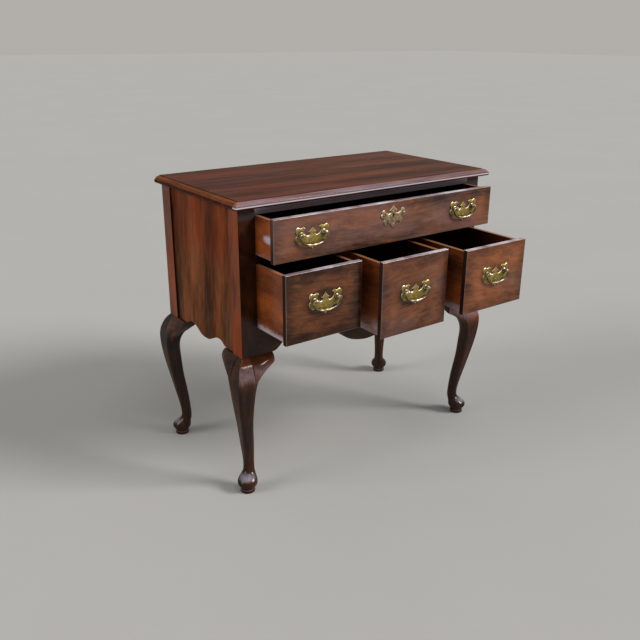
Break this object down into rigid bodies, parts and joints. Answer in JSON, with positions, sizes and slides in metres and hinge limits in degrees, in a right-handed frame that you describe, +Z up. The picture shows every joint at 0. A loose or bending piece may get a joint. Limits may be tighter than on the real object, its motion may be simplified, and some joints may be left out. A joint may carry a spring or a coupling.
{
  "type": "lowboy",
  "caption": "Queen Anne lowboy: moulded top and shaped apron on cabriole legs with pad feet, one wide drawer over three small ones, batwing pulls and a keyhole.",
  "frame": {"origin": "on the floor, at the middle of the area that the piece takes up with its drawers drawn out as at rest", "axes": "+X runs to the right along the front, +Y runs from the drawer fronts to the back, +Z is up"},
  "size_m": [0.8322, 0.654, 0.762],
  "materials": {
    "case_wood": "satin varnish on dark red-brown mahogany",
    "front_wood": "satin varnish on figured red-brown mahogany",
    "drawer_wood": "thin varnish on orange-brown hardwood",
    "secondary_wood": "bare stained softwood",
    "brass": "antiqued cast brass, rubbed bright on its edges",
    "steel": "plain steel"
  },
  "bodies": {
    "case": {"top_board": "case_wood", "front_left_leg": "case_wood", "front_right_leg": "case_wood", "rear_left_leg": "case_wood", "rear_right_leg": "case_wood", "front_knee_blocks": "case_wood", "side_knee_blocks": "case_wood", "left_side_panel": "case_wood", "right_side_panel": "case_wood", "front_apron": "case_wood", "top_rail": "case_wood", "mid_rail": "case_wood", "left_divider": "case_wood", "right_divider": "case_wood", "back_rail": "secondary_wood", "back_panel": "secondary_wood", "upper_runners": "secondary_wood", "lower_runners": "secondary_wood", "divider_bearers": "secondary_wood", "drawer_kickers": "secondary_wood", "top_screws": "steel"},
    "top_drawer": {"top_drawer_front": "front_wood", "top_drawer_left_side": "drawer_wood", "top_drawer_right_side": "drawer_wood", "top_drawer_back": "drawer_wood", "top_drawer_bottom": "drawer_wood", "top_left_pull_plate": "brass", "top_right_pull_plate": "brass", "top_drawer_pull_bolts": "brass", "escutcheon": "brass", "escutcheon_pins": "brass", "lock_case": "brass"},
    "left_drawer": {"left_drawer_front": "front_wood", "left_drawer_left_side": "drawer_wood", "left_drawer_right_side": "drawer_wood", "left_drawer_back": "drawer_wood", "left_drawer_bottom": "drawer_wood", "left_pull_plate": "brass", "left_drawer_pull_bolts": "brass"},
    "middle_drawer": {"middle_drawer_front": "front_wood", "middle_drawer_left_side": "drawer_wood", "middle_drawer_right_side": "drawer_wood", "middle_drawer_back": "drawer_wood", "middle_drawer_bottom": "drawer_wood", "middle_pull_plate": "brass", "middle_drawer_pull_bolts": "brass"},
    "right_drawer": {"right_drawer_front": "front_wood", "right_drawer_left_side": "drawer_wood", "right_drawer_right_side": "drawer_wood", "right_drawer_back": "drawer_wood", "right_drawer_bottom": "drawer_wood", "right_pull_plate": "brass", "right_drawer_pull_bolts": "brass"},
    "lock_bolt": {"lock_bolt": "steel"},
    "top_left_pull_bail": {"top_left_pull_bail": "brass"},
    "top_right_pull_bail": {"top_right_pull_bail": "brass"},
    "left_pull_bail": {"left_pull_bail": "brass"},
    "middle_pull_bail": {"middle_pull_bail": "brass"},
    "right_pull_bail": {"right_pull_bail": "brass"}
  },
  "joints": [
    {"name": "top_drawer_slide", "type": "slide", "parent": "case", "child": "top_drawer", "axis": [0, -1, 0], "range_m": [-0.0718, 0.208]},
    {"name": "left_drawer_slide", "type": "slide", "parent": "case", "child": "left_drawer", "axis": [0, -1, 0], "range_m": [-0.1188, 0.161]},
    {"name": "middle_drawer_slide", "type": "slide", "parent": "case", "child": "middle_drawer", "axis": [0, -1, 0], "range_m": [-0.1648, 0.115]},
    {"name": "right_drawer_slide", "type": "slide", "parent": "case", "child": "right_drawer", "axis": [0, -1, 0], "range_m": [-0.2048, 0.075]},
    {"name": "top_left_pull_swing", "type": "hinge", "parent": "top_drawer", "child": "top_left_pull_bail", "pos_m": [-0.244, -0.188, 0.686], "axis": [-1, 0, 0], "range_deg": [0, 95]},
    {"name": "top_right_pull_swing", "type": "hinge", "parent": "top_drawer", "child": "top_right_pull_bail", "pos_m": [0.244, -0.188, 0.686], "axis": [-1, 0, 0], "range_deg": [0, 95]},
    {"name": "left_pull_swing", "type": "hinge", "parent": "left_drawer", "child": "left_pull_bail", "pos_m": [-0.24, -0.235, 0.541], "axis": [-1, 0, 0], "range_deg": [0, 95]},
    {"name": "middle_pull_swing", "type": "hinge", "parent": "middle_drawer", "child": "middle_pull_bail", "pos_m": [0, -0.281, 0.529], "axis": [-1, 0, 0], "range_deg": [0, 95]},
    {"name": "right_pull_swing", "type": "hinge", "parent": "right_drawer", "child": "right_pull_bail", "pos_m": [0.24, -0.321, 0.541], "axis": [-1, 0, 0], "range_deg": [0, 95]},
    {"name": "lock_bolt_throw", "type": "slide", "parent": "top_drawer", "child": "lock_bolt", "axis": [0, 0, 1], "range_m": [0, 0.008]}
  ]
}
